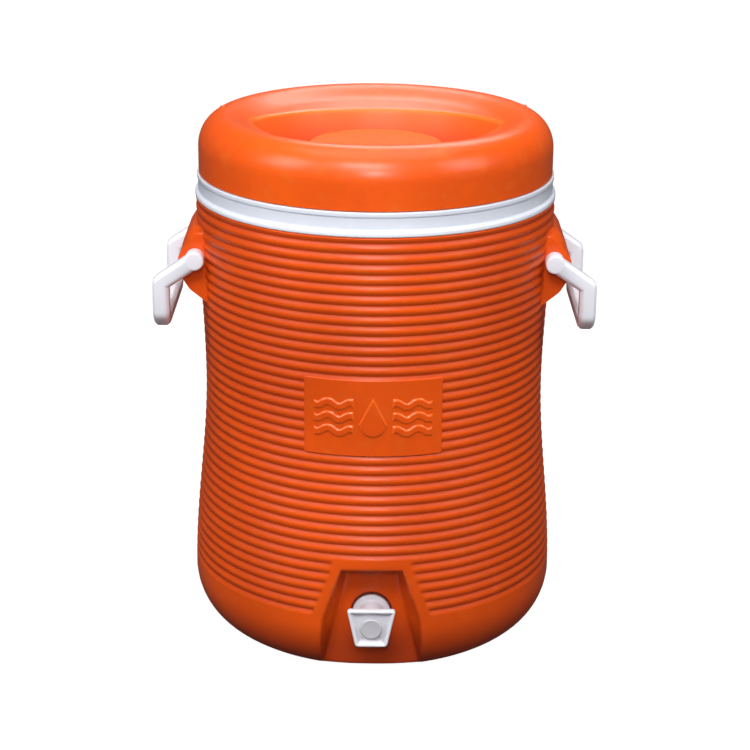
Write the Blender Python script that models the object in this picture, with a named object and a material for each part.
"""Large insulated water jug: ribbed shell, threaded lid, two bail handles and a push tap.

Metres, +Z up. The origin is the centre of the flat base, the tap faces -Y, the handles are on +X and -X.
"""

import math

import bmesh
import bpy
from mathutils import Vector

# Driving dimensions
SIDES = 32
SMALL_SIDES = 16
GAP = 0.0003
FOAM_GAP = 0.0009
SMALL_EDGE = 0.0006
EDGE = 0.0008
OVERSHOOT = 0.0100

# Outer shell: the belly and the shoulder set the size, and the rest is measured from them
BELLY_RADIUS = 0.1664
SHOULDER_HEIGHT = 0.4040
FOOT_INSET = 0.0428
WAIST_INSET = 0.0122
NECK_INSET = 0.0062
ROUNDING_HEIGHT = 0.0500
WAIST_HEIGHT = 0.2350
SHELL_WALL = 0.0030
GROOVE_PITCH = 0.00899
GROOVE_DEPTH = 0.0016
GROOVE_TOP_MARGIN = 0.0052
STANDING_PROUD = 0.0003

# Mouth
COLLAR_HEIGHT = 0.0207
COLLAR_SKIRT = 0.0022
COLLAR_BEAD = 0.0049
COLLAR_BEAD_DEPTH = 0.0027
COLLAR_EDGE_DEPTH = 0.0006
COLLAR_LIP = 0.0020
COLLAR_LIP_DROP = 0.0120
FOAM_HEADROOM = 0.0022
COLLAR_FLANGE = 0.0037
SPIGOT_PLAY = 0.0005

# Tank
LINER_WALL = 0.0025
LINER_FLOOR_HEIGHT = 0.0270
LINER_INSET = 0.0198
LINER_TAPER = 0.0060
LINER_CORNER = 0.0040
LINER_NECK_DEPTH = 0.0400
LINER_RIM = 0.0063

# Lid thread: starts of one screw, all with the same lead
THREAD_STARTS = 4
THREAD_LEAD = 0.0320
THREAD_SWEEP = math.radians(80)
THREAD_DEPTH = 0.0028
THREAD_WIDTH = 0.0026
THREAD_PLAY = 0.0010
THREAD_AXIAL_PLAY = 0.0005
THREAD_TOP_MARGIN = 0.0070

# Lid: the recess is measured in from the crest, and its boss in from the recess's side
LID_HEIGHT = 0.0504
LID_CREST_INSET = 0.0247
LID_ROUNDING = 0.0280
LID_WALL = 0.0028
LID_DISH = 0.0160
DISH_STEP = 0.0045
LID_SEAT = 0.0040
LID_PLUG_DEPTH = 0.0355
LID_PLUG_WALL = 0.0025
LID_PLUG_EDGE = 0.0020
GASKET_WIDTH = 0.0060
RECESS_END_MARGIN = 0.0225
RECESS_SIDE_MARGIN = 0.0495
RECESS_DEPTH = 0.0300
RECESS_DRAFT = 0.0100
BOSS_FINGER_GAP = 0.0235
BOSS_HEIGHT = 0.0184
BOSS_DRAFT = 0.0040
BOSS_EDGE = 0.0030
PIP_RADIUS = 0.0028
PIP_BEYOND_CREST = 0.0066
PIP_ANGLES = {"left": math.radians(170), "right": math.radians(17)}

# Handles and their lugs: the lug's outline is reach and height from the pivot, from root to root
PIVOT_DROP = 0.0475
PIVOT_INSET = 0.0015
LUG_OUTLINE = (
    (-0.0200, 0.0360),
    (0.0040, 0.0240),
    (0.0110, 0.0130),
    (0.0160, -0.0040),
    (0.0160, -0.0120),
    (0.0060, -0.0290),
    (-0.0200, -0.0500),
)
ARM_SPREAD = 0.0615
ARM_WIDTH = 0.0150
ARM_THICKNESS = 0.0140
ARM_CHAMFER = 0.0030
KNEE_REACH = 0.0298
KNEE_DROP = 0.0205
GRIP_DROP = 0.0555
GRIP_CORNER = 0.0080
EYE_RADIUS = 0.0085
EYE_PROUD = 0.0002
TRUNNION_RADIUS = 0.0045
TRUNNION_LENGTH = 0.0100
LUG_TO_ARM = 0.0015

# Label plate
PLATE_WIDTH = 0.1200
PLATE_BOTTOM = 0.2090
PLATE_HEIGHT = 0.0710

# Tap and its pocket. The halves are half widths: at the back wall, the shell's face and the frame's edge
TAP_HEIGHT = 0.0550
POCKET_BEHIND_TANK = 0.0065
POCKET_CLEARANCE = 0.0530
POCKET_CEILING_RISE = 0.0150
POCKET_KNEE = 0.0015
POCKET_TOE = 0.0120
POCKET_OVERSHOOT = 0.0020
POCKET_HALVES = {
    "ceiling": (0.0226, 0.0274, 0.0340),
    "knee": (0.0300, 0.0465, 0.0543),
    "toe": (0.0416, 0.0486, 0.0677),
    "foot": (0.0445, 0.0491, 0.0704),
}
FRAME_WIDTH = 0.0060
TAP_BORE = 0.0065
SHANK_RADIUS = 0.0095
BARREL_RADIUS = 0.0115
BARREL_LENGTH = 0.0189
FLANGE_RADIUS = 0.0168
FLANGE_THICKNESS = 0.0030
TAP_GASKET_RADIUS = 0.0184
TAP_GASKET_THICKNESS = 0.0020
NUT_RADIUS = 0.0165
SPOT_FACE_MARGIN = 0.0020
NUT_THICKNESS = 0.0060
SHANK_BEYOND_NUT = 0.0034
SPOUT_RADIUS = 0.0075
SPOUT_BORE = 0.0050
SPOUT_DROP = 0.0210
SPOUT_OVERLAP = 0.0010
STEM_RADIUS = 0.0028
STEM_COLLAR = 0.0012
STEM_BEYOND_CLIP = 0.0010
SPRING_RADIUS = 0.0048
SPRING_WIRE = 0.0004
SPRING_TURNS = 4
SPRING_POINTS = 8
SPRING_SEAT_DEPTH = 0.0065
SPRING_SEAT_WALL = 0.0020
PADDLE_TRAVEL = 0.0060
PADDLE_STOP_GAP = 0.0015
PADDLE_THICKNESS = 0.0055
PADDLE_DISH = 0.0025
PADDLE_RIM = 0.0030
PADDLE_TOP_WIDTH = 0.0428
PADDLE_BOTTOM_WIDTH = 0.0278
PADDLE_ABOVE_AXIS = 0.0175
PADDLE_BELOW_AXIS = 0.0180
PADDLE_CORNER = 0.0030
BUTTON_RADIUS = 0.0092
BUTTON_LENGTH = 0.0032
BUTTON_WALL = 0.0012
SEAL_RADIUS = 0.0088
SEAL_THICKNESS = 0.0030
CLIP_RADIUS = 0.0060
CLIP_THICKNESS = 0.0014

# Base plug
PLUG_RADIUS = 0.0120
PLUG_OFFSET = 0.0500
PLUG_DIMPLE = 0.0010

# Places that follow from them
FOOT_RADIUS = BELLY_RADIUS - FOOT_INSET
WAIST_RADIUS = BELLY_RADIUS - WAIST_INSET
NECK_RADIUS = BELLY_RADIUS - NECK_INSET
GROOVE_COUNT = int((SHOULDER_HEIGHT - GROOVE_TOP_MARGIN - ROUNDING_HEIGHT) / GROOVE_PITCH)
MOUTH_HEIGHT = SHOULDER_HEIGHT + GAP + COLLAR_HEIGHT
SPIGOT_HEIGHT = COLLAR_HEIGHT - COLLAR_FLANGE - SPIGOT_PLAY
SPIGOT_RADIUS = NECK_RADIUS - SHELL_WALL - GROOVE_DEPTH - GAP
LINER_NECK_RADIUS = SPIGOT_RADIUS - SHELL_WALL - LINER_INSET
LINER_BOTTOM_RADIUS = LINER_NECK_RADIUS - LINER_TAPER
LID_RADIUS = SPIGOT_RADIUS + GAP + COLLAR_SKIRT - COLLAR_EDGE_DEPTH
LID_CREST_RADIUS = LID_RADIUS - LID_CREST_INSET
RECESS_HALF_LENGTH = LID_CREST_RADIUS - RECESS_END_MARGIN
RECESS_HALF_WIDTH = LID_CREST_RADIUS - RECESS_SIDE_MARGIN
BOSS_RADIUS = RECESS_HALF_WIDTH - BOSS_FINGER_GAP
LID_BOTTOM = MOUTH_HEIGHT + 2 * GAP
LID_SHOULDER = LID_BOTTOM + LID_HEIGHT - LID_ROUNDING
LID_FLANGE_BOTTOM = MOUTH_HEIGHT + LID_SEAT
NECK_BORE = LINER_NECK_RADIUS - LINER_WALL
LID_PLUG_RADIUS = NECK_BORE - THREAD_DEPTH - THREAD_PLAY
RECESS_LIP = LID_BOTTOM + LID_HEIGHT - LID_DISH
RECESS_FLOOR = RECESS_LIP - RECESS_DEPTH
PIVOT_HEIGHT = SHOULDER_HEIGHT - PIVOT_DROP
POCKET_BACK = LINER_BOTTOM_RADIUS + POCKET_BEHIND_TANK
POCKET_TOP = TAP_HEIGHT + POCKET_CLEARANCE
FLANGE_BACK = POCKET_BACK + TAP_GASKET_THICKNESS + 2 * GAP
BARREL_FRONT = FLANGE_BACK + FLANGE_THICKNESS + BARREL_LENGTH
PADDLE_BACK = BARREL_FRONT + PADDLE_TRAVEL + PADDLE_STOP_GAP
SPRING_SEAT = BARREL_FRONT - SPRING_SEAT_DEPTH
STEM_SHOULDER = PADDLE_BACK - GAP


def clear_scene():
    for thing in list(bpy.data.objects):
        bpy.data.objects.remove(thing)


def add_object(name, data):
    thing = bpy.data.objects.new(name, data)
    bpy.context.scene.collection.objects.link(thing)
    return thing


def from_bmesh(name, bm):
    """Makes an object of a bmesh, with its faces pointing out."""
    bmesh.ops.remove_doubles(bm, verts=bm.verts, dist=1e-6)
    bmesh.ops.recalc_face_normals(bm, faces=bm.faces)
    mesh = bpy.data.meshes.new(name)
    bm.to_mesh(mesh)
    bm.free()
    return add_object(name, mesh)


def turned(name, profile, sides=SIDES, sweep=2 * math.pi):
    """Spins a profile of (radius, height) points about Z. A profile that starts and ends on the axis is left
    open there, and any other is a closed loop. A part turn is capped at both ends."""
    bm = bmesh.new()
    points = [bm.verts.new((radius, 0, height)) for radius, height in profile]
    edges = [bm.edges.new(pair) for pair in zip(points, points[1:])]
    if profile[0][0] > 0:
        edges.append(bm.edges.new((points[-1], points[0])))
    bmesh.ops.spin(
        bm, geom=points + edges, cent=(0, 0, 0), axis=(0, 0, 1), angle=sweep, steps=sides
    )
    if sweep < 2 * math.pi:
        bmesh.ops.holes_fill(bm, edges=[edge for edge in bm.edges if edge.is_boundary], sides=0)
    return from_bmesh(name, bm)


def lofted(name, loops):
    """Joins loops of the same number of points, one after another, and caps the two ends. Each patch between
    two loops is two triangles, split the other way in the second half, so that a grown copy splits alike."""
    bm = bmesh.new()
    rows = [[bm.verts.new(point) for point in loop] for loop in loops]
    for low, high in zip(rows, rows[1:]):
        for index, corner in enumerate(low):
            following = (index + 1) % len(low)
            patch = [corner, low[following], high[following], high[index]]
            if 2 * index >= len(low):
                patch = patch[1:] + patch[:1]
            bm.faces.new((patch[0], patch[1], patch[2]))
            bm.faces.new((patch[0], patch[2], patch[3]))
    bm.faces.new(rows[0])
    bm.faces.new(rows[-1])
    return from_bmesh(name, bm)


def prism_along_y(name, outline, front, back):
    """Extrudes an outline of (x, z) points from y = front to y = back."""
    return lofted(name, [[(x, y, z) for x, z in outline] for y in (front, back)])


def cylinder(name, radius, low, high, sides=SMALL_SIDES):
    return turned(name, [(0, low), (radius, low), (radius, high), (0, high)], sides)


def combine(target, other, operation):
    """Applies a Boolean with another object, and removes that object."""
    modifier = target.modifiers.new(operation, "BOOLEAN")
    modifier.operation = operation
    modifier.object = other
    bpy.context.view_layer.update()
    graph = bpy.context.evaluated_depsgraph_get()
    mesh = bpy.data.meshes.new_from_object(target.evaluated_get(graph))
    target.modifiers.clear()
    target.data = mesh
    bpy.data.objects.remove(other)


def cut(target, *cutters):
    for cutter in cutters:
        combine(target, cutter, "DIFFERENCE")


def join(target, *others):
    for other in others:
        combine(target, other, "UNION")


def on_tap_axis(thing):
    """Turns a piece's local +Z to -Y and lifts it to the tap's axis."""
    thing.location = (0, 0, TAP_HEIGHT)
    thing.rotation_euler = (math.pi / 2, 0, 0)
    return thing


def finish(thing, colour, roughness, metallic=0.0):
    """Gives a piece its own material and smooth shading with sharp edges kept."""
    material = bpy.data.materials.new(thing.name)
    material.use_nodes = True
    shader = material.node_tree.nodes["Principled BSDF"]
    shader.inputs["Base Color"].default_value = (*colour, 1)
    shader.inputs["Roughness"].default_value = roughness
    shader.inputs["Metallic"].default_value = metallic
    thing.data.materials.clear()
    thing.data.materials.append(material)
    if thing.type == "MESH":
        thing.data.shade_smooth()
        thing.data.set_sharp_from_angle(angle=math.radians(35))
    return thing


def ease(share):
    return share * share * (3 - 2 * share)


def shell_radius(height):
    """The radius of the rib crests: belly to waist to neck in two smooth steps."""
    if height < WAIST_HEIGHT:
        share = max(0, (height - ROUNDING_HEIGHT) / (WAIST_HEIGHT - ROUNDING_HEIGHT))
        return BELLY_RADIUS + (WAIST_RADIUS - BELLY_RADIUS) * ease(share)
    share = min(1, (height - WAIST_HEIGHT) / (SHOULDER_HEIGHT - WAIST_HEIGHT))
    return WAIST_RADIUS + (NECK_RADIUS - WAIST_RADIUS) * ease(share)


def wall_heights():
    return [ROUNDING_HEIGHT + (SHOULDER_HEIGHT - ROUNDING_HEIGHT) * step / 8 for step in range(9)]


def rounding(offset, steps=6):
    """The base's quarter ellipse, from the flat foot up to the belly, moved inwards by an offset."""
    points = []
    for step in range(steps + 1):
        angle = math.pi / 2 * (1 - step / steps)
        radius = FOOT_RADIUS + (BELLY_RADIUS - FOOT_RADIUS - offset) * math.cos(angle)
        height = ROUNDING_HEIGHT - (ROUNDING_HEIGHT - offset) * math.sin(angle)
        points.append((radius, height))
    return points


def ribbed_profile():
    """The shell's outside, from the axis at the base to the axis at the top of the spigot."""
    profile = [(0, 0)] + rounding(0)
    first = SHOULDER_HEIGHT - GROOVE_TOP_MARGIN
    for index in reversed(range(GROOVE_COUNT)):
        height = first - index * GROOVE_PITCH
        crest = height - GROOVE_PITCH / 2
        profile.append((shell_radius(crest), crest))
        profile.append((shell_radius(height) - GROOVE_DEPTH, height))
    profile.append((NECK_RADIUS, SHOULDER_HEIGHT - GROOVE_TOP_MARGIN / 2))
    profile.append((NECK_RADIUS, SHOULDER_HEIGHT))
    top = SHOULDER_HEIGHT + SPIGOT_HEIGHT
    return profile + [(SPIGOT_RADIUS, SHOULDER_HEIGHT), (SPIGOT_RADIUS, top), (0, top)]


def inner_wall(offset, floor):
    """The shell's inside, from the axis up to the shoulder, moved inwards by an offset."""
    inset = GROOVE_DEPTH + SHELL_WALL + offset
    curve = [(radius, max(height, floor)) for radius, height in rounding(inset)]
    straight = [(shell_radius(height) - inset, height) for height in wall_heights()[1:-1]]
    step = SHOULDER_HEIGHT - SHELL_WALL
    bore = SPIGOT_RADIUS - SHELL_WALL - offset
    shoulder = [(NECK_RADIUS - inset, step - 0.004), (bore, step)]
    return [(0, floor)] + curve + straight + shoulder


def pocket_heights():
    return {
        "ceiling": POCKET_TOP - POCKET_CEILING_RISE,
        "knee": TAP_HEIGHT + POCKET_KNEE,
        "toe": POCKET_TOE,
        "foot": -POCKET_OVERSHOOT,
    }


def pocket_solid(name, grown):
    """The tap pocket, flared towards the front and open below. Its widths grow down its height."""
    front = BELLY_RADIUS + 3 * OVERSHOOT
    flare = (front - POCKET_BACK) / (BELLY_RADIUS - POCKET_BACK)
    loops = []
    for place, low in pocket_heights().items():
        at_back, at_face, _ = POCKET_HALVES[place]
        inner = at_back + grown
        outer = at_back + (at_face - at_back) * flare + grown
        depth = min(FOOT_RADIUS, POCKET_BACK) - grown if place == "foot" else POCKET_BACK - grown
        high = low
        if place == "ceiling":
            low += grown
            high = low + POCKET_CEILING_RISE * flare
        left = [(-outer, -front, high), (-inner, -depth, low)]
        right = [(inner, -depth, low), (outer, -front, high)]
        loops.append(left + right)
    return lofted(name, loops)


def smooth_band(name, bottom, top):
    """A plain turned band just proud of the rib crests, from the axis out."""
    steps = 5
    heights = [bottom + (top - bottom) * step / steps for step in range(steps + 1)]
    edge = [(shell_radius(height) + STANDING_PROUD, height) for height in heights]
    return turned(name, [(0, bottom)] + edge + [(0, top)])


def label_plate():
    """The plain label area: the front of a smooth band, as wide as the plate."""
    plate = smooth_band("plate", PLATE_BOTTOM, PLATE_BOTTOM + PLATE_HEIGHT)
    half = PLATE_WIDTH / 2
    outline = [(-half, 0), (half, 0), (half, 1), (-half, 1)]
    window = prism_along_y("plate_window", outline, -1, -WAIST_RADIUS / 2)
    combine(plate, window, "INTERSECT")
    return plate


def pocket_frame():
    """The smooth surround of the tap pocket, from the lowest rib up over the pocket's top."""
    lowest = SHOULDER_HEIGHT - GROOVE_TOP_MARGIN - (GROOVE_COUNT - 1) * GROOVE_PITCH
    bottom = lowest - GROOVE_PITCH / 2
    top = POCKET_TOP + FRAME_WIDTH
    frame = smooth_band("frame", bottom, top)
    narrow = POCKET_HALVES["ceiling"][2]
    middle = POCKET_HALVES["knee"][2]
    spread = (middle - narrow) / (POCKET_TOP - TAP_HEIGHT - POCKET_KNEE)
    wide = narrow + (top - bottom) * spread
    outline = [(-wide, bottom), (wide, bottom), (narrow, top), (-narrow, top)]
    window = prism_along_y("frame_window", outline, -1, -BELLY_RADIUS / 2)
    combine(frame, window, "INTERSECT")
    return frame


def pivot_reach():
    return shell_radius(PIVOT_HEIGHT) - PIVOT_INSET


def lug(side):
    """The block between a handle's arms, with a drafted top and a slanting underside."""
    reach = pivot_reach()
    half = ARM_SPREAD - ARM_THICKNESS / 2 - LUG_TO_ARM
    outline = [(side * (reach + out), PIVOT_HEIGHT + up) for out, up in LUG_OUTLINE]
    return prism_along_y("lug", outline, -half, half)


def trunnion_sockets(side):
    """One blind bore in each end of a lug."""
    end = ARM_SPREAD - ARM_THICKNESS / 2
    sockets = []
    for facing in (-1, 1):
        bore = cylinder("socket", TRUNNION_RADIUS + GAP, end - TRUNNION_LENGTH - 2 * GAP, end + LUG_TO_ARM)
        bore.rotation_euler = (-facing * math.pi / 2, 0, 0)
        bore.location = (side * pivot_reach(), 0, PIVOT_HEIGHT)
        sockets.append(bore)
    return sockets


def outer_shell():
    shell = turned("outer_shell", ribbed_profile())
    join(shell, lug(1), lug(-1), label_plate(), pocket_frame())
    cut(shell, pocket_solid("pocket", 0))
    bore = SPIGOT_RADIUS - SHELL_WALL
    top = SHOULDER_HEIGHT + SPIGOT_HEIGHT + OVERSHOOT
    hollow = turned("hollow", inner_wall(0, SHELL_WALL) + [(bore, top), (0, top)])
    cut(hollow, pocket_solid("pocket_wall", SHELL_WALL))
    cut(shell, hollow)
    filler = cylinder("filler", PLUG_RADIUS, -OVERSHOOT, SHELL_WALL + OVERSHOOT)
    filler.location = (0, PLUG_OFFSET, 0)
    hole = tap_hole(POCKET_BACK)
    cut(shell, filler, hole, *trunnion_sockets(1), *trunnion_sockets(-1))
    return finish(shell, (0.80, 0.10, 0.020), 0.36)


def tap_hole(distance):
    """The hole that the tap's shank passes through, cut either side of a wall at a distance from the axis."""
    reach = 2 * OVERSHOOT
    return on_tap_axis(cylinder("tap_hole", SHANK_RADIUS + GAP, distance - reach, distance + reach))


def base_plug():
    radius = PLUG_RADIUS - GAP
    profile = [(0, GAP), (radius, GAP), (radius, SHELL_WALL), (radius / 2, SHELL_WALL)]
    plug = turned("base_plug", profile + [(0, SHELL_WALL - PLUG_DIMPLE)], SMALL_SIDES)
    plug.location = (0, PLUG_OFFSET, 0)
    return finish(plug, (0.70, 0.10, 0.025), 0.45)


def liner_outside(offset):
    """The tank's outside, from the axis to the top of its neck, moved outwards by an offset."""
    bottom = LINER_FLOOR_HEIGHT
    neck = MOUTH_HEIGHT - LINER_NECK_DEPTH
    return [
        (0, bottom - offset),
        (LINER_BOTTOM_RADIUS - LINER_CORNER, bottom - offset),
        (LINER_BOTTOM_RADIUS + offset, bottom + LINER_CORNER),
        (LINER_NECK_RADIUS + offset, neck),
    ]


def thread_ribs(base_radius, tip_radius, top):
    """The ribs of one thread: each a helical bar that rises with the lead over the sweep."""
    steps = 8
    section = [(base_radius, -0.5), (base_radius, 0.5), (tip_radius, 0.32), (tip_radius, -0.32)]
    ribs = []
    for start in range(THREAD_STARTS):
        loops = []
        for step in range(steps + 1):
            turn = THREAD_SWEEP * step / steps
            angle = turn + 2 * math.pi * start / THREAD_STARTS
            middle = top - THREAD_LEAD * (THREAD_SWEEP - turn) / (2 * math.pi) - THREAD_WIDTH / 2
            loops.append(
                [
                    (radius * math.cos(angle), radius * math.sin(angle), middle + share * THREAD_WIDTH)
                    for radius, share in section
                ]
            )
        ribs.append(lofted("thread_rib", loops))
    return ribs


def inner_liner():
    neck = MOUTH_HEIGHT - LINER_NECK_DEPTH
    rim = LINER_NECK_RADIUS + LINER_RIM
    outside = liner_outside(0)
    profile = outside + [
        (LINER_NECK_RADIUS, MOUTH_HEIGHT - COLLAR_FLANGE),
        (rim, MOUTH_HEIGHT - COLLAR_FLANGE),
        (rim, MOUTH_HEIGHT),
        (NECK_BORE, MOUTH_HEIGHT),
        (NECK_BORE, neck),
        (LINER_BOTTOM_RADIUS - LINER_WALL, LINER_FLOOR_HEIGHT + LINER_CORNER + 0.001),
        (LINER_BOTTOM_RADIUS - LINER_CORNER - LINER_WALL / 2, LINER_FLOOR_HEIGHT + LINER_WALL),
        (0, LINER_FLOOR_HEIGHT + LINER_WALL),
    ]
    liner = turned("inner_liner", profile)
    top = MOUTH_HEIGHT - THREAD_TOP_MARGIN
    join(liner, *thread_ribs(NECK_BORE + LINER_WALL / 3, NECK_BORE - THREAD_DEPTH, top))
    face = liner_inside_at_tap()
    spot = on_tap_axis(cylinder("spot_face", NUT_RADIUS + SPOT_FACE_MARGIN, face - OVERSHOOT, face))
    hole = tap_hole(face)
    cut(liner, spot, hole)
    return finish(liner, (0.86, 0.87, 0.88), 0.32)


def liner_inside_at_tap():
    """How far in front of the axis the tank's inner face lies at the tap's height."""
    low = LINER_FLOOR_HEIGHT + LINER_CORNER
    neck = MOUTH_HEIGHT - LINER_NECK_DEPTH
    share = (TAP_HEIGHT - low) / (neck - low)
    outside = LINER_BOTTOM_RADIUS + (LINER_NECK_RADIUS - LINER_BOTTOM_RADIUS) * share
    return outside - LINER_WALL + GAP


def body_foam():
    top = MOUTH_HEIGHT - COLLAR_LIP_DROP - FOAM_HEADROOM
    bore = SPIGOT_RADIUS - SHELL_WALL - GAP
    outer = inner_wall(GAP, SHELL_WALL + GAP)
    inner = liner_outside(GAP)
    neck = LINER_NECK_RADIUS + GAP
    foam = turned("body_foam", outer + [(bore, top), (neck, top)] + list(reversed(inner)))
    hole = tap_hole(POCKET_BACK)
    cut(foam, pocket_solid("pocket_wall", SHELL_WALL + FOAM_GAP), hole)
    return finish(foam, (0.80, 0.74, 0.50), 0.9)


def collar_ring():
    """The white ring: a skirt outside the spigot with a bead at its foot, a flange and a lip in the foam."""
    bottom = SHOULDER_HEIGHT + GAP
    top = MOUTH_HEIGHT
    inside = SPIGOT_RADIUS + GAP
    band = inside + COLLAR_SKIRT
    bead = band + COLLAR_BEAD_DEPTH
    upper = band + COLLAR_EDGE_DEPTH
    lip = LINER_NECK_RADIUS + LINER_RIM + GAP
    profile = [
        (inside, bottom),
        (bead, bottom),
        (bead, bottom + COLLAR_BEAD - EDGE),
        (band, bottom + COLLAR_BEAD + EDGE),
        (band, top - COLLAR_FLANGE - EDGE),
        (upper, top - COLLAR_FLANGE),
        (upper, top),
        (lip, top),
        (lip, top - COLLAR_LIP_DROP),
        (lip + COLLAR_LIP, top - COLLAR_LIP_DROP),
        (lip + COLLAR_LIP, top - COLLAR_FLANGE),
        (inside, top - COLLAR_FLANGE),
    ]
    return finish(turned("collar_ring", profile), (0.78, 0.81, 0.86), 0.35)


def recess_outline(grown):
    """The lens of two equal arcs through the tips, as (x, y) points."""
    half_length = RECESS_HALF_LENGTH + grown
    half_width = RECESS_HALF_WIDTH + grown
    radius = (half_length**2 + half_width**2) / (2 * half_width)
    reach = math.asin(half_length / radius)
    steps = 10
    points = []
    for side in (-1, 1):
        for step in range(steps):
            angle = reach * (2 * step / steps - 1)
            x = -side * radius * math.sin(angle)
            y = side * (radius * math.cos(angle) - (radius - half_width))
            points.append((x, y))
    return points


def recess_solid(name, grown):
    """The hand recess with its round boss left standing, grown outwards by a wall or a gap."""
    floor = RECESS_FLOOR - grown
    top = LID_BOTTOM + LID_HEIGHT + OVERSHOOT
    wide = recess_outline(grown)
    narrow = recess_outline(grown - RECESS_DRAFT)
    heights = [(wide, top), (wide, RECESS_LIP), (narrow, floor)]
    well = lofted(name, [[(x, y, height) for x, y in loop] for loop, height in heights])
    boss_top = RECESS_FLOOR + BOSS_HEIGHT - grown
    radius = BOSS_RADIUS - grown
    boss = turned(
        "boss",
        [(0, floor - OVERSHOOT), (radius + BOSS_DRAFT, floor - OVERSHOOT), (radius + BOSS_DRAFT, floor)]
        + [(radius + BOSS_EDGE / 3, boss_top - BOSS_EDGE), (radius - BOSS_EDGE * 2 / 3, boss_top), (0, boss_top)],
    )
    cut(well, boss)
    return well


def lid_top_profile(offset):
    """The lid's top, from the axis to its shoulder: a shallow dish, the rim crest and a quarter ellipse."""
    crest = LID_SHOULDER + LID_ROUNDING - offset
    dish = LID_DISH
    points = [(0, crest - dish), (RECESS_HALF_WIDTH - DISH_STEP, crest - dish)]
    points += [(RECESS_HALF_LENGTH, crest - 0.56 * dish), (LID_CREST_RADIUS - DISH_STEP, crest - 0.05 * dish)]
    steps = 6
    for step in range(steps + 1):
        angle = math.pi / 2 * step / steps
        radius = LID_CREST_RADIUS + (LID_RADIUS - LID_CREST_RADIUS - offset) * math.sin(angle)
        points.append((radius, LID_SHOULDER + (LID_ROUNDING - offset) * math.cos(angle)))
    return points


def lid_cover():
    cover = turned("lid_cover", lid_top_profile(0) + [(LID_RADIUS, LID_BOTTOM), (0, LID_BOTTOM)])
    cut(cover, recess_solid("recess", 0))
    below = LID_BOTTOM - OVERSHOOT
    skirt = LID_RADIUS - LID_WALL
    hollow = turned("hollow", lid_top_profile(LID_WALL) + [(skirt, below), (0, below)])
    cut(hollow, recess_solid("recess_wall", LID_WALL))
    cut(cover, hollow)
    for side in PIP_ANGLES:
        hole = cylinder("pip_hole", PIP_RADIUS + GAP, LID_SHOULDER, LID_BOTTOM + LID_HEIGHT + OVERSHOOT)
        hole.location = pip_place(side)
        cut(cover, hole)
    return finish(cover, (0.83, 0.12, 0.022), 0.34)


def pip_place(side):
    reach = LID_CREST_RADIUS + PIP_BEYOND_CREST
    return (reach * math.cos(PIP_ANGLES[side]), reach * math.sin(PIP_ANGLES[side]), 0)


def lid_fill_plug(side):
    top = LID_BOTTOM + LID_HEIGHT - GAP
    bottom = top - LID_WALL + GAP
    rounded = [(PIP_RADIUS, top - SMALL_EDGE), (PIP_RADIUS - SMALL_EDGE, top)]
    profile = [(0, bottom), (PIP_RADIUS, bottom)] + rounded + [(0, top)]
    plug = turned(f"lid_fill_plug_{side}", profile, SMALL_SIDES)
    plug.location = pip_place(side)
    return finish(plug, (0.80, 0.11, 0.022), 0.4)


def lid_liner():
    """The lid's underside: a flange under the skirt and a threaded plug, open above."""
    floor = LID_FLANGE_BOTTOM - LID_PLUG_DEPTH
    top = LID_FLANGE_BOTTOM + LID_PLUG_WALL
    flange = LID_RADIUS - LID_WALL - 2 * GAP
    inner = LID_PLUG_RADIUS - LID_PLUG_WALL
    profile = [
        (0, floor),
        (LID_PLUG_RADIUS - LID_PLUG_EDGE, floor),
        (LID_PLUG_RADIUS, floor + LID_PLUG_EDGE),
        (LID_PLUG_RADIUS, LID_FLANGE_BOTTOM),
        (flange, LID_FLANGE_BOTTOM),
        (flange, top),
        (inner, top),
        (inner, floor + LID_PLUG_WALL),
        (0, floor + LID_PLUG_WALL),
    ]
    liner = turned("lid_liner", profile)
    below = MOUTH_HEIGHT - THREAD_TOP_MARGIN - THREAD_WIDTH - THREAD_AXIAL_PLAY
    tip = LID_PLUG_RADIUS + THREAD_DEPTH - 0.0001
    join(liner, *thread_ribs(LID_PLUG_RADIUS - LID_PLUG_WALL / 3, tip, below))
    return finish(liner, (0.84, 0.85, 0.87), 0.35)


def lid_foam():
    inner = LID_PLUG_RADIUS - LID_PLUG_WALL - GAP
    bottom = LID_FLANGE_BOTTOM - LID_PLUG_DEPTH + LID_PLUG_WALL + GAP
    shelf = LID_FLANGE_BOTTOM + LID_PLUG_WALL + GAP
    skirt = LID_RADIUS - LID_WALL - FOAM_GAP
    sides = [(skirt, shelf), (inner, shelf), (inner, bottom), (0, bottom)]
    foam = turned("lid_foam", lid_top_profile(LID_WALL + FOAM_GAP) + sides)
    cut(foam, recess_solid("recess_wall", LID_WALL + FOAM_GAP))
    return finish(foam, (0.80, 0.74, 0.50), 0.9)


def lid_gasket():
    inner = LINER_NECK_RADIUS + LINER_RIM + GAP + COLLAR_LIP / 2
    outer = inner + GASKET_WIDTH
    low, high = MOUTH_HEIGHT + GAP, LID_FLANGE_BOTTOM - GAP
    gasket = turned("lid_gasket", [(inner, low), (outer, low), (outer, high), (inner, high)])
    return finish(gasket, (0.75, 0.76, 0.76), 0.6)


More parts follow.
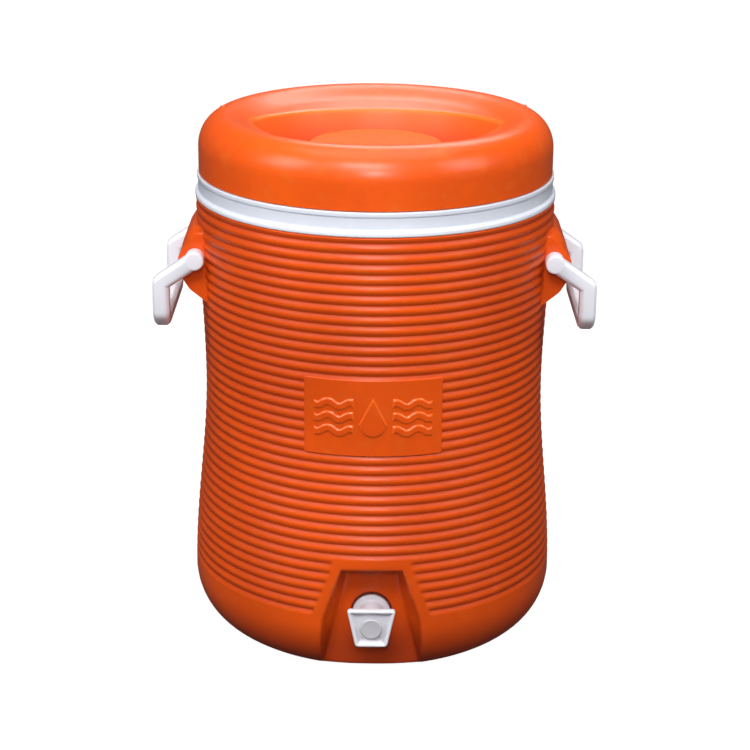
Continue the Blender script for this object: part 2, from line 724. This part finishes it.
def swept(name, width, thickness, chamfer, path):
    """Carries a chamfered rectangle along a path, mitred at each corner. Its thickness starts along Y."""
    path = [Vector(point) for point in path]
    across = Vector((0, 1, 0))
    run = (path[1] - path[0]).normalized()
    up = run.cross(across).normalized()
    half_w, half_t = width / 2, thickness / 2
    corners = [
        (half_t, half_w - chamfer),
        (half_t - chamfer, half_w),
        (chamfer - half_t, half_w),
        (-half_t, half_w - chamfer),
        (-half_t, chamfer - half_w),
        (chamfer - half_t, -half_w),
        (half_t - chamfer, -half_w),
        (half_t, chamfer - half_w),
    ]
    loop = [path[0] + across * a + up * b for a, b in corners]
    loops = [loop]
    for index in range(1, len(path)):
        run = (path[index] - path[index - 1]).normalized()
        ahead = path[min(index + 1, len(path) - 1)] - path[index]
        normal = (run + ahead.normalized()).normalized() if ahead.length > 0 else run
        loop = [point + run * (normal.dot(path[index] - point) / normal.dot(run)) for point in loop]
        loops.append(loop)
    return lofted(name, loops)


def handle(side_name, side):
    """A bail: two cranked arms, a grip across them, and at each end an eye with a trunnion for the lug."""
    half = [
        (0, ARM_SPREAD, 0),
        (KNEE_REACH, ARM_SPREAD, -KNEE_DROP),
        (KNEE_REACH, ARM_SPREAD, GRIP_CORNER - GRIP_DROP),
        (KNEE_REACH, ARM_SPREAD - GRIP_CORNER, -GRIP_DROP),
    ]
    path = [(x, -y, z) for x, y, z in half] + list(reversed(half))
    bail = swept(f"handle_{side_name}", ARM_WIDTH, ARM_THICKNESS, ARM_CHAMFER, path)
    inside = ARM_SPREAD - ARM_THICKNESS / 2
    outside = ARM_SPREAD + ARM_THICKNESS / 2
    for facing in (-1, 1):
        eye = turned(
            "eye",
            [
                (0, inside - TRUNNION_LENGTH),
                (TRUNNION_RADIUS, inside - TRUNNION_LENGTH),
                (TRUNNION_RADIUS, inside - EYE_PROUD),
                (EYE_RADIUS, inside - EYE_PROUD),
                (EYE_RADIUS, outside - EDGE),
                (EYE_RADIUS - 2 * EDGE, outside + EYE_PROUD),
                (0, outside + EYE_PROUD),
            ],
            SMALL_SIDES,
        )
        eye.rotation_euler = (-facing * math.pi / 2, 0, 0)
        join(bail, eye)
    bail.location = (side * pivot_reach(), 0, PIVOT_HEIGHT)
    bail.rotation_euler = (0, 0, 0 if side > 0 else math.pi)
    return finish(bail, (0.80, 0.81, 0.85), 0.32)


def tap_body():
    """Shank, flange and barrel turned in one, with the spout below and a seat for the spring in front."""
    inner_end = shank_end()
    wall = SPRING_SEAT_WALL
    front_flange = FLANGE_BACK + FLANGE_THICKNESS
    profile = [
        (TAP_BORE, inner_end),
        (SHANK_RADIUS, inner_end),
        (SHANK_RADIUS, FLANGE_BACK),
        (FLANGE_RADIUS, FLANGE_BACK),
        (FLANGE_RADIUS, front_flange - EDGE),
        (FLANGE_RADIUS - EDGE, front_flange),
        (BARREL_RADIUS, front_flange),
        (BARREL_RADIUS, BARREL_FRONT - 2 * EDGE),
        (BARREL_RADIUS - 2 * EDGE, BARREL_FRONT),
        (TAP_BORE, BARREL_FRONT),
        (TAP_BORE, SPRING_SEAT),
        (STEM_RADIUS + GAP, SPRING_SEAT),
        (STEM_RADIUS + GAP, SPRING_SEAT - wall),
        (TAP_BORE, SPRING_SEAT - wall),
    ]
    body = on_tap_axis(turned("tap_body", profile, SMALL_SIDES))
    place = (0, -(front_flange + SPOUT_RADIUS - SPOUT_OVERLAP), TAP_HEIGHT)
    spout = cylinder("spout", SPOUT_RADIUS, -SPOUT_DROP, -TAP_BORE - SPOUT_OVERLAP)
    way = cylinder("spout_way", SPOUT_BORE, -SPOUT_DROP - OVERSHOOT, -TAP_BORE / 2)
    spout.location = way.location = place
    join(body, spout)
    cut(body, way)
    return finish(body, (0.80, 0.79, 0.80), 0.38)


def shank_end():
    return liner_inside_at_tap() - TAP_GASKET_THICKNESS - NUT_THICKNESS - 3 * GAP - SHANK_BEYOND_NUT


def tap_washer(name, radius, front, colour):
    """A rubber ring round the shank, with its front face at the distance given."""
    back = front - TAP_GASKET_THICKNESS
    bore = SHANK_RADIUS + GAP
    ring = turned(name, [(bore, back), (radius, back), (radius, front), (bore, front)], SMALL_SIDES)
    return finish(on_tap_axis(ring), colour, 0.7)


def tap_nut():
    front = liner_inside_at_tap() - TAP_GASKET_THICKNESS - 2 * GAP
    nut = cylinder("tap_nut", NUT_RADIUS, front - NUT_THICKNESS, front, 6)
    bore = cylinder("bore", SHANK_RADIUS + GAP, front - 2 * OVERSHOOT, front + OVERSHOOT)
    cut(nut, bore)
    return finish(on_tap_axis(nut), (0.80, 0.80, 0.80), 0.4)


def paddle_outline(inset):
    """The paddle's outline with cut corners, as (x, height above the tap's axis) points, inset all round."""
    top = PADDLE_ABOVE_AXIS - inset
    bottom = inset - PADDLE_BELOW_AXIS
    wide = PADDLE_TOP_WIDTH / 2 - inset
    narrow = PADDLE_BOTTOM_WIDTH / 2 - inset
    corner = PADDLE_CORNER
    slope = (wide - narrow) / (top - bottom)
    right = [
        (narrow - 0.4 * corner, bottom),
        (narrow + 0.6 * corner * slope, bottom + 0.6 * corner),
        (wide - corner * slope, top - corner),
        (wide - 0.3 * corner, top - 0.3 * corner),
        (wide - corner, top),
    ]
    return right + [(-x, z) for x, z in reversed(right)]


def tap_paddle():
    """A trapezoid push plate with a raised rim round a dished face, and a hole for the stem."""
    back, front = PADDLE_BACK, PADDLE_BACK + PADDLE_THICKNESS
    layers = [
        (SMALL_EDGE, back),
        (0, back + SMALL_EDGE),
        (0, front - SMALL_EDGE),
        (SMALL_EDGE, front),
        (PADDLE_RIM - 2 * SMALL_EDGE, front),
        (PADDLE_RIM, front - PADDLE_DISH),
    ]
    loops = [[(x, z, depth) for x, z in paddle_outline(inset)] for inset, depth in layers]
    paddle = lofted("tap_paddle", loops)
    cut(paddle, cylinder("stem_hole", STEM_RADIUS + GAP, back - OVERSHOOT, front + OVERSHOOT))
    return finish(on_tap_axis(paddle), (0.80, 0.80, 0.83), 0.34)


def tap_button():
    """The round cap that closes over the stem's front end."""
    back = PADDLE_BACK + PADDLE_THICKNESS - PADDLE_DISH + GAP
    front = back + BUTTON_LENGTH
    socket = STEM_RADIUS + GAP
    profile = [
        (0, front),
        (BUTTON_RADIUS - EDGE, front),
        (BUTTON_RADIUS, front - EDGE),
        (BUTTON_RADIUS, back),
        (socket, back),
        (socket, front - BUTTON_WALL),
        (0, front - BUTTON_WALL),
    ]
    return finish(on_tap_axis(turned("tap_button", profile, SMALL_SIDES)), (0.66, 0.66, 0.68), 0.4)


def tap_stem():
    """The rod from the button to the valve, with a shoulder that bears on the paddle and takes the spring."""
    inner = shank_end() - SEAL_THICKNESS - CLIP_THICKNESS - 5 * GAP - STEM_BEYOND_CLIP
    front = PADDLE_BACK + PADDLE_THICKNESS - PADDLE_DISH + BUTTON_LENGTH - BUTTON_WALL
    profile = [
        (0, inner),
        (STEM_RADIUS, inner),
        (STEM_RADIUS, STEM_SHOULDER - STEM_COLLAR),
        (SPRING_RADIUS, STEM_SHOULDER - STEM_COLLAR),
        (SPRING_RADIUS, STEM_SHOULDER),
        (STEM_RADIUS, STEM_SHOULDER),
        (STEM_RADIUS, front),
        (0, front),
    ]
    return finish(on_tap_axis(turned("tap_stem", profile, SMALL_SIDES)), (0.78, 0.78, 0.80), 0.4)


def tap_valve_seal():
    front = shank_end() - GAP
    back = front - SEAL_THICKNESS
    bore = STEM_RADIUS + GAP
    profile = [(bore, back), (SEAL_RADIUS - EDGE, back), (SEAL_RADIUS, front), (bore, front)]
    return finish(on_tap_axis(turned("tap_valve_seal", profile, SMALL_SIDES)), (0.03, 0.03, 0.03), 0.7)


def tap_retaining_clip():
    """A snap ring on the stem behind the seal, open at one side."""
    front = shank_end() - SEAL_THICKNESS - 2 * GAP
    back = front - CLIP_THICKNESS
    bore = STEM_RADIUS + GAP
    profile = [(bore, back), (CLIP_RADIUS, back), (CLIP_RADIUS, front), (bore, front)]
    clip = turned("tap_retaining_clip", profile, SMALL_SIDES, math.radians(300))
    return finish(on_tap_axis(clip), (0.55, 0.56, 0.58), 0.3, 1.0)


def tap_spring():
    """The return spring round the stem, from its seat in the barrel to the stem's shoulder."""
    low = SPRING_SEAT + SPRING_WIRE + GAP
    high = STEM_SHOULDER - STEM_COLLAR - SPRING_WIRE - GAP
    curve = bpy.data.curves.new("tap_spring", "CURVE")
    curve.dimensions = "3D"
    curve.bevel_depth = SPRING_WIRE
    curve.bevel_resolution = 0
    curve.use_fill_caps = True
    spline = curve.splines.new("POLY")
    count = SPRING_POINTS * SPRING_TURNS + 1
    spline.points.add(count - 1)
    for index, point in enumerate(spline.points):
        angle = 2 * math.pi * index / SPRING_POINTS
        height = low + (high - low) * index / (count - 1)
        point.co = (SPRING_RADIUS * math.cos(angle), SPRING_RADIUS * math.sin(angle), height, 1)
    return finish(on_tap_axis(add_object("tap_spring", curve)), (0.60, 0.61, 0.63), 0.25, 1.0)


def hang_on(name, location, things):
    """Parents pieces to an empty on their joint's axis, without moving them."""
    axis = add_object(name, None)
    axis.location = location
    bpy.context.view_layer.update()
    for thing in things:
        thing.parent = axis
        thing.matrix_parent_inverse = axis.matrix_world.inverted()


def build():
    clear_scene()
    outer_shell()
    base_plug()
    body_foam()
    inner_liner()
    collar_ring()
    lid = [lid_cover(), lid_liner(), lid_foam(), lid_gasket(), lid_fill_plug("left"), lid_fill_plug("right")]
    hang_on("lid_axis", (0, 0, MOUTH_HEIGHT), lid)
    handle("right", 1)
    handle("left", -1)
    tap_body()
    outer_face = POCKET_BACK + GAP + TAP_GASKET_THICKNESS
    inner_face = liner_inside_at_tap() - GAP
    tap_washer("tap_outer_gasket", TAP_GASKET_RADIUS, outer_face, (0.16, 0.03, 0.02))
    tap_washer("tap_inner_gasket", NUT_RADIUS, inner_face, (0.05, 0.05, 0.05))
    tap_nut()
    moving = [tap_paddle(), tap_button(), tap_stem(), tap_valve_seal(), tap_retaining_clip()]
    hang_on("tap_axis", (0, -PADDLE_BACK, TAP_HEIGHT), moving)
    tap_spring()


build()
